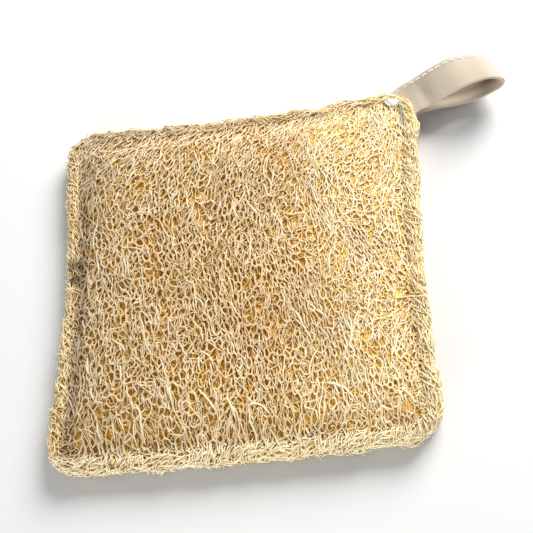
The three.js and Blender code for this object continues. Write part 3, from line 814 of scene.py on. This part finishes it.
def core_body(name, side):
    """The closed body under the nets, ring by ring from its inner face round the rim to its middle."""
    depth = 1.2
    meeting, limit = (4.7, 4.62) if side > 0 else (4.1, 4.2)
    ring = evenly(OUTLINE, 220)
    n = len(ring)
    rings = []
    for share in (0.05, 0.35, 0.7, 0.95):
        p = MIDDLE + (ring - MIDDLE) * share * 0.97
        rings.append(np.column_stack([p, np.full(n, meeting) + TOP_LIFT * lift_at(p[:, 0], p[:, 1])]))
    _, out = from_edge(ring)
    for s in np.concatenate([np.linspace(-3.2, 8, 13), np.linspace(9.5, 56, 28)]):
        p = MIDDLE + (ring - MIDDLE) * (1 - max(s, 0) / 60) if s > 0 else ring - out * s
        rings.append(on_sheet(p, side, depth)[0])
    verts = np.vstack(rings)
    rough = slice(5 * n, None)
    verts[rough, 2] += np.random.default_rng(9).normal(0, 0.08, len(verts[rough]))
    keep_to = np.maximum if side > 0 else np.minimum
    verts[:, 2] = keep_to(verts[:, 2], limit + TOP_LIFT * lift_at(verts[:, 0], verts[:, 1]))
    faces = band_faces(len(rings), n)
    first = len(verts)
    last = first - n
    verts = np.vstack([verts, verts[:n].mean(0), verts[-n:].mean(0)])
    faces += [(first, (i + 1) % n, i) for i in range(n)]
    faces += [(first + 1, last + i, last + (i + 1) % n) for i in range(n)]
    if side < 0:
        faces = [f[::-1] for f in faces]
    return smooth_in(mesh_from(name, verts, faces), CORE)


def rim_strip(side):
    """The band of surface over the rim, with the grain along the outline, for the cut ends to lie on."""
    ring = evenly(OUTLINE, 300)
    n = len(ring)
    steps = np.linspace(-3.3, 3.8, 6)
    _, out = from_edge(ring)
    verts = np.vstack([on_sheet(ring - out * s, side, 0.1)[0] for s in steps])
    faces = band_faces(len(steps), n)
    if side < 0:
        faces = [f[::-1] for f in faces]
    along = np.roll(ring, -1, axis=0) - np.roll(ring, 1, axis=0)
    along = unit(np.column_stack([along, np.zeros(n)]))
    strip = mesh_from("rim strip", verts, faces)
    give_attribute(strip, "grain", np.tile(along, (len(steps), 1)))
    over = 0.45 - 0.22 * np.maximum(out[:, 0], 0) - 0.1 * np.maximum(-out[:, 0], 0) - 0.2 * out[:, 1]
    over += 0.25 * np.sin(ring[:, 0] / 5 + ring[:, 1] / 3.7)
    give_attribute(strip, "over", np.tile(over, len(steps)))
    return strip


def loose_lines(count, lengths, stray, seed, lie, right=False):
    """Lines that wander over the top with the grain and dive in at their ends.

    With right, most of them lie to the right and the back."""
    stride, rim_free = 1.2, 1.5
    rng = np.random.default_rng(seed)
    verts, edges = [], []
    for _ in range(count):
        length = rng.uniform(*lengths)
        x, y = rng.uniform(-58, 58), rng.uniform(-58, 58)
        if right and rng.random() > 0.1 + 0.9 * smooth(x + 0.6 * y, -5, 45):
            continue
        ahead, here = (grain(np.array([x - 9]), np.array([at]))[0] for at in (y + 1, y))
        heading = math.atan2(1, float(ahead - here)) + rng.normal(0, stray)
        bend_by = rng.normal(0, 0.05)
        points = []
        for _ in range(max(4, int(length / stride))):
            points.append((x, y))
            heading += bend_by + rng.normal(0, 0.13)
            x += stride * math.cos(heading)
            y += stride * math.sin(heading)
        placed, s = on_sheet(np.array(points), TOP)
        if (s < rim_free).any():
            continue
        t = np.linspace(-1, 1, len(placed))
        placed[:, 2] += lie - 0.9 * t**4 + 0.18 * np.sin(t * length * 0.5 + rng.uniform(0, 6))
        edges += chain(len(verts), len(placed))
        verts += placed.tolist()
    return mesh_from("loose lines", np.array(verts), edges=edges)


def laid(name, side, spacing, stretch, sunk, seed, material, thickness, step=0.001, missing=0.15, across=0.0,
         cells=True, flare=0.5, apart=0.0, turn=0):
    """One layer of the net on a sheet, sunk by some millimetres. A turn gives the same sites other gaps."""
    p, faces = scattered(spacing, stretch, seed, apart)
    verts, _ = on_sheet(p, side, sunk)
    rng = np.random.default_rng(seed + 500 + turn)
    verts[:, 2] += side * rng.uniform(-ROUGHNESS, ROUGHNESS, len(verts))
    base = mesh_from(name + "_base", verts, faces.tolist())
    drift = grain(p[:, 0], p[:, 1] + 1, seed) - grain(p[:, 0], p[:, 1], seed)
    give_attribute(base, "grain", unit(np.column_stack([drift, np.ones(len(p)), np.zeros(len(p))])))
    return grow(base, name, NET, {
        "Seed": seed + turn, "Material": material, "Cells": cells, "Missing share": missing,
        "More missing across the grain": across, "Patchiness": 0.4, "Thickness": thickness, "Wander": 0.00026,
        "Waves per metre": 560.0, "Step": step, "Thickness change": 0.5, "Flare at knots": flare, "Sides": 3})


top_core = core_body("loofah_top_core", TOP)
under_core = core_body("loofah_under_core", UNDER)

top_pieces = [
    laid("loofah_top_net_upper", TOP, 1.6, 1.9, 0.0, 3, UPPER_FIBRE, 0.00045, 0.0009, 0.1, 0.4),
    laid("loofah_top_net_paired", TOP, 1.6, 1.9, 0.25, 3, UPPER_FIBRE, 0.00042, 0.0009, 0.1, 0.3,
         apart=0.28, turn=40),
    laid("loofah_top_net_middle", TOP, 1.8, 1.8, 0.55, 5, MIDDLE_FIBRE, 0.0004, across=0.2),
    laid("loofah_top_net_stars", TOP, 2.4, 1.8, 0.05, 7, UPPER_FIBRE, 0.0004, missing=0.4, across=0.35,
         cells=False, flare=0.9),
    laid("loofah_top_net_lower", TOP, 1.9, 1.6, 0.95, 11, LOWER_FIBRE, 0.00044),
]
under_pieces = [
    laid("loofah_under_net_outer", UNDER, 1.6, 1.9, 0.0, 13, UPPER_FIBRE, 0.00046, missing=0.1, across=0.3),
    laid("loofah_under_net_middle", UNDER, 1.8, 1.8, 0.35, 19, MIDDLE_FIBRE, 0.00044),
    laid("loofah_under_net_inner", UNDER, 2.2, 1.5, 0.7, 17, LOWER_FIBRE, 0.00046, 0.0011, missing=0.1),
]

# Each kind of loose strand: how many, their lengths, how far they stray from the grain, seed and height.
LOOSE = {
    "loofah_long_strands": ((320, (5, 16), 0.16, 21, 0.15), {
        "Material": LONG_FIBRE, "Thickness": 0.00056, "Seed": 4, "Wander": 0.0005}),
    "loofah_fine_strands": ((2600, (3.0, 8), 0.35, 23, 0.1), {
        "Material": UPPER_FIBRE, "Thickness": 0.00034, "Seed": 6, "Wander": 0.0004, "Sides": 3}),
    "loofah_matted_strands": ((2400, (2.5, 7), 0.9, 27, 0.0, True), {
        "Material": UPPER_FIBRE, "Thickness": 0.00036, "Seed": 16, "Wander": 0.0003, "Sides": 3}),
}
for name, (lines, settings) in LOOSE.items():
    top_pieces.append(grow(loose_lines(*lines), name, STRANDS, settings))

rim_settings = {"Material": RIM_FIBRE, "Density": 800000.0, "Length": 0.0040, "Rise": 0.00045, "Lean": 0.35,
                "Turn": 0.8, "Slant": 1.2, "Thickness": 0.00045}
for pieces, side, name, seed in ((top_pieces, TOP, "loofah_top_rim_fibres", 31),
                                 (under_pieces, UNDER, "loofah_under_rim_fibres", 37)):
    pieces.append(grow(rim_strip(side), name, CUT_ENDS, {**rim_settings, "Seed": seed}))


def press_flat(ob):
    """Squeezes fibres that would hang below the resting plane up to it."""
    room = 0.3 * MM
    verts = ob.data.vertices
    at = np.empty(3 * len(verts))
    verts.foreach_get("co", at)
    z = at[2::3]
    at[2::3] = np.where(z < room, room * np.exp(np.minimum(z / room - 1, 0)), z)
    verts.foreach_set("co", at)
    ob.data.update()


for piece in under_pieces + top_pieces:
    press_flat(piece)


# ---- the hanging loop

TAPE_WIDTH = 12.0
TAPE_THICKNESS = 0.9
EDGE_ROUND = 0.35      # how far the long edges' rounding reaches into the width
STITCH_INSET = 1.15
ROOT_TURN = -54.5
ROOT_STEPS = (0.0, 4.5, 9.0)
TAPE_EXIT = np.array([58.05, 56.4])
# Along the loop: the place of the tape's middle, which way its width points, and how far that way tilts up.
STATIONS = [
    ((63, 57.9, 8.8), -61, -2), ((68.9, 58.8, 12.2), -67.5, -6), ((74.7, 59.6, 15.0), -76, -4),
    ((79.7, 60.4, 15.4), -78, 5), ((83.4, 60.9, 15.0), -75, 10), ((86.2, 61.5, 12.7), -71, 14),
    ((87.8, 62.3, 9.6), -69, 15), ((87.2, 62.8, 6.2), -70, 13), ((84.2, 62.9, 3.9), -74, 9),
    ((78, 61.7, 2.5), -76, 6), ((71, 60.4, 2.9), -70, 4), ((64.5, 58.8, 4.3), -61, 2),
]


def root_station(back, ply):
    """A station on one of the tape's two ends, some way back into the pad."""
    a = math.radians(ROOT_TURN)
    x = TAPE_EXIT[0] + math.sin(a) * back
    y = TAPE_EXIT[1] - math.cos(a) * back
    s = from_edge(np.array([[x, y]]))[0][0]
    meeting = np.interp(s, [0, 5, 20], [4.4, 4.4, 6.0]) + TOP_LIFT * lift_at(x, y)
    return ((x, y, float(meeting + ply * 0.6)), ROOT_TURN, 0)


def smooth_path(points, per_step):
    """Runs a smooth curve through points, with their extra columns, timed by the roots of the gaps."""
    p = np.vstack([2 * points[0] - points[1], points, 2 * points[-1] - points[-2]])
    gaps = np.linalg.norm(np.diff(p[:, :3], axis=0), axis=1) ** 0.5
    t = np.concatenate([[0], np.cumsum(gaps)])

    def between(u, i, j, a, b):
        return (t[j] - u) / (t[j] - t[i]) * a + (u - t[i]) / (t[j] - t[i]) * b

    made = []
    for i in range(1, len(p) - 2):
        for u in np.linspace(t[i], t[i + 1], per_step, endpoint=False):
            a1, a2, a3 = (between(u, k, k + 1, p[k], p[k + 1]) for k in (i - 1, i, i + 1))
            b1, b2 = between(u, i - 1, i + 1, a1, a2), between(u, i, i + 2, a2, a3)
            made.append(between(u, i, i + 1, b1, b2))
    made.append(p[-2])
    return np.array(made)


def tape_frames():
    """Along the tape: its middle, the way across it, the way out of its outer face, and the run."""
    stations = [root_station(b, 1) for b in reversed(ROOT_STEPS)] + STATIONS + [
        root_station(b, -1) for b in ROOT_STEPS]
    run = smooth_path(np.array([(*at, turn, tilt) for at, turn, tilt in stations], float), 12)
    middle = run[:, :3]
    turn, tilt = np.radians(run[:, 3]), np.radians(run[:, 4])
    across = np.column_stack([np.cos(turn) * np.cos(tilt), np.sin(turn) * np.cos(tilt), np.sin(tilt)])
    normal = unit(np.cross(across, unit(np.gradient(middle, axis=0))))
    return middle, across, normal, run_along(middle)


def tape_section():
    """Round the tape's section: its flat faces, a little hollow, and its two rounded edges."""
    half, thin = TAPE_WIDTH / 2, TAPE_THICKNESS / 2
    section = []
    for way, angles in ((1, (60, 20, -20, -60)), (-1, (-120, -160, 160, 120))):
        for u in np.linspace(-way, way, 15):
            section.append((u * (half - EDGE_ROUND), way * thin * (1 - 0.1 * (1 - abs(u)) ** 0.5)))
        for a in (math.radians(a) for a in angles):
            section.append((way * (half - EDGE_ROUND) + EDGE_ROUND * math.cos(a), thin * math.sin(a)))
    return np.array(section)


def sag(run, u):
    """How far the cloth stands out of its even bend: a slow ripple, and the dimple at the fold."""
    dent = 0.16 * np.sin(run / 3.1 + u / 4.0) * np.exp(-((run - 17) / 9) ** 2)
    dent += 0.10 * np.sin(run / 5.0 + 1.0 + u / 3.0)
    dent -= 1.3 * np.exp(-((run - 15.6 + 0.25 * u) / 2.1) ** 2) * np.exp(-((u - 0.3) / 4.6) ** 2)
    return dent


def tape_body():
    """A folded cloth tape, with a UV map along its length and round its section."""
    middle, across, normal, length = tape_frames()
    section = tape_section()
    n = len(section)
    u, v = section[:, 0:1], section[:, 1:2]
    around = run_along(np.vstack([section, section[:1]]))
    verts, uvs = [], []
    for k in range(len(middle)):
        verts.append(middle[k] + across[k] * u + normal[k] * (v + sag(length[k], u)))
        uvs.append(np.column_stack([np.full(n, length[k]), around[:-1]]))
    verts, uvs = np.vstack(verts), np.vstack(uvs) * MM
    last = (len(middle) - 1) * n
    faces = band_faces(len(middle), n) + [tuple(range(n - 1, -1, -1)), tuple(range(last, last + n))]
    ob = mesh_from("hanging_tape", verts, faces)
    layer = ob.data.uv_layers.new(name="cloth")
    for poly in ob.data.polygons:
        closing = poly.index < last and poly.index % n == n - 1
        for c in poly.loop_indices:
            vertex = ob.data.loops[c].vertex_index
            along, round_it = uvs[vertex]
            if closing and vertex % n == 0:
                round_it = around[-1] * MM
            layer.data[c].uv = (along, round_it)
    return smooth_in(ob, LINEN), float(length[-1])


tape, tape_length = tape_body()


def tape_stitch_line(side):
    """The line of the topstitches on the outer (1) or the inner (-1) face of the tape, but not in the pad."""
    middle, across, normal, length = tape_frames()
    free = (length > 9.4) & (length < length[-1] - 10.5)
    p = middle[free] + across[free] * (STITCH_INSET - TAPE_WIDTH / 2)
    p = p + side * normal[free] * (TAPE_THICKNESS / 2)
    line = mesh_from("stitch line", p, edges=chain(0, len(p)))
    give_attribute(line, "outward", side * normal[free])
    return line


topstitch = {"Material": TOPSTITCH, "Length": 0.0017, "Arch": 0.0002, "Thickness": 0.00043}
topstitch_outer = grow(tape_stitch_line(1), "topstitch_outer", STITCHES, {**topstitch, "Seed": 3})
topstitch_inner = grow(tape_stitch_line(-1), "topstitch_inner", STITCHES, {**topstitch, "Seed": 4})


# ---- the seam round the pad

def seam_line(side):
    """The line of the seam round the pad, a little sunk in its groove."""
    ring = evenly(OUTLINE, 360)
    _, out = from_edge(ring)
    p = ring - out * SEAM_INSET
    s, _ = from_edge(p)
    p = evenly(p[s > SEAM_INSET - 0.05], 360)
    placed, _ = on_sheet(p, side, 0.2)
    n = len(placed)
    line = mesh_from("seam line", placed, edges=chain(0, n) + [(n - 1, 0)])
    give_attribute(line, "outward", np.tile([0.0, 0.0, float(side)], (n, 1)))
    return line


seam = {"Material": SEAM_THREAD, "Pitch": 0.0031, "Length": 0.0029, "Arch": 0.0003, "Thickness": 0.0004}
seam_top = grow(seam_line(TOP), "seam_stitches_top", STITCHES, {**seam, "Seed": 8})
seam_under = grow(seam_line(UNDER), "seam_stitches_under", STITCHES, {**seam, "Seed": 9})


# ---- the white tacking at the loop's root

TACK_PATHS = [
    [(50.9, 55.6), (51.6, 54.2), (52.6, 53.2)], [(51.6, 55.9), (52.4, 54.6), (53.3, 53.3)],
    [(52.3, 56.2), (53.0, 54.8), (54.0, 53.2)], [(53.1, 56.3), (53.7, 55.0), (54.8, 53.4)],
    [(53.8, 56.2), (54.6, 54.9), (55.5, 53.7)], [(54.5, 55.9), (55.2, 54.9), (55.9, 54.2)],
    [(51.8, 54.2), (53.5, 53.8), (55.4, 54.0)], [(52.2, 55.2), (53.9, 54.6), (55.7, 54.9)],
]
TAIL_PATHS = [
    [(54.9, 57.8), (55.9, 54.6), (56.8, 50.9), (56.6, 47.0), (56.2, 43.4)],
    [(54.2, 57.5), (55.1, 54.5), (56.1, 51.1), (55.9, 47.3), (55.6, 44.2)],
]


def tack_lines(paths, lie):
    """Lines a little above the top sheet, with their ends pulled into it."""
    end_pull = 0.8
    verts, edges = [], []
    for path in paths:
        corners = np.column_stack([np.array(path, float), np.zeros(len(path))])
        placed, _ = on_sheet(smooth_path(corners, 5)[:, :2], TOP, -lie)
        placed[[0, -1], 2] -= end_pull
        edges += chain(len(verts), len(placed))
        verts += placed.tolist()
    return mesh_from("tack lines", np.array(verts), edges=edges)


tack_knot = grow(tack_lines(TACK_PATHS, 0.7), "tack_knot", STRANDS, {
    "Material": TACK_THREAD, "Thickness": 0.0007, "Seed": 12, "Step": 0.0004, "Wander": 0.0003, "Sides": 6})
tack_tails = grow(tack_lines(TAIL_PATHS, 0.6), "tack_tails", STRANDS, {
    "Material": TAIL_THREAD, "Thickness": 0.00042, "Seed": 13, "Step": 0.0006, "Wander": 0.0001, "Sides": 6})


# ---- the floor and the light

def floor_and_light():
    far = 3000
    floor = mesh_from("floor", [(-far, -far, 0), (far, -far, 0), (far, far, 0), (-far, far, 0)], [(0, 1, 2, 3)])
    paper = Finish("white paper", 0.9, 0.1)
    paper.skin.inputs["Base Color"].default_value = (0.72, 0.72, 0.72, 1)
    floor.data.materials.append(paper.material)

    world = bpy.data.worlds.new("soft room")
    world.use_nodes = True
    sky = world.node_tree.nodes["Background"].inputs
    sky["Color"].default_value = (0.95, 0.975, 1.0, 1)
    sky["Strength"].default_value = 0.41
    scene.world = world

    def lamp(name, place, aim, size_m, power, colour):
        data = bpy.data.lights.new(name, "AREA")
        data.shape = "DISK"
        data.size = size_m
        data.energy = power
        data.color = colour
        way = (Vector(aim) - Vector(place)).normalized().to_track_quat("-Z", "Y")
        show(name, data).matrix_world = Matrix.Translation(Vector(place)) @ way.to_matrix().to_4x4()

    lamp("window", (0.33, 0.49, 0.43), (0, 0, 0), 0.5, 9.2, (1.0, 0.985, 0.955))
    lamp("white card", (-0.28, -0.66, 0.075), (0, 0, 0.01), 0.4, 5.7, (0.96, 0.98, 1.0))


floor_and_light()
scene.view_settings.view_transform = "Standard"

# ---- what rides on what, and the CAD parts that are hidden

for piece in top_pieces + [top_core]:
    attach(piece, "root")
for piece in under_pieces + [under_core]:
    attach(piece, "root")
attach(tape, "root")
for piece in (topstitch_outer, topstitch_inner, seam_top, seam_under, tack_knot, tack_tails):
    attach(piece, "root")

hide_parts("loofah_sheet_top")
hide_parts("loofah_sheet_under")
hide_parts("hanging_loop")
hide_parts("loop_stitching_outer")
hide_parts("loop_stitching_inner")
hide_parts("seam_thread_top")
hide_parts("seam_thread_under")
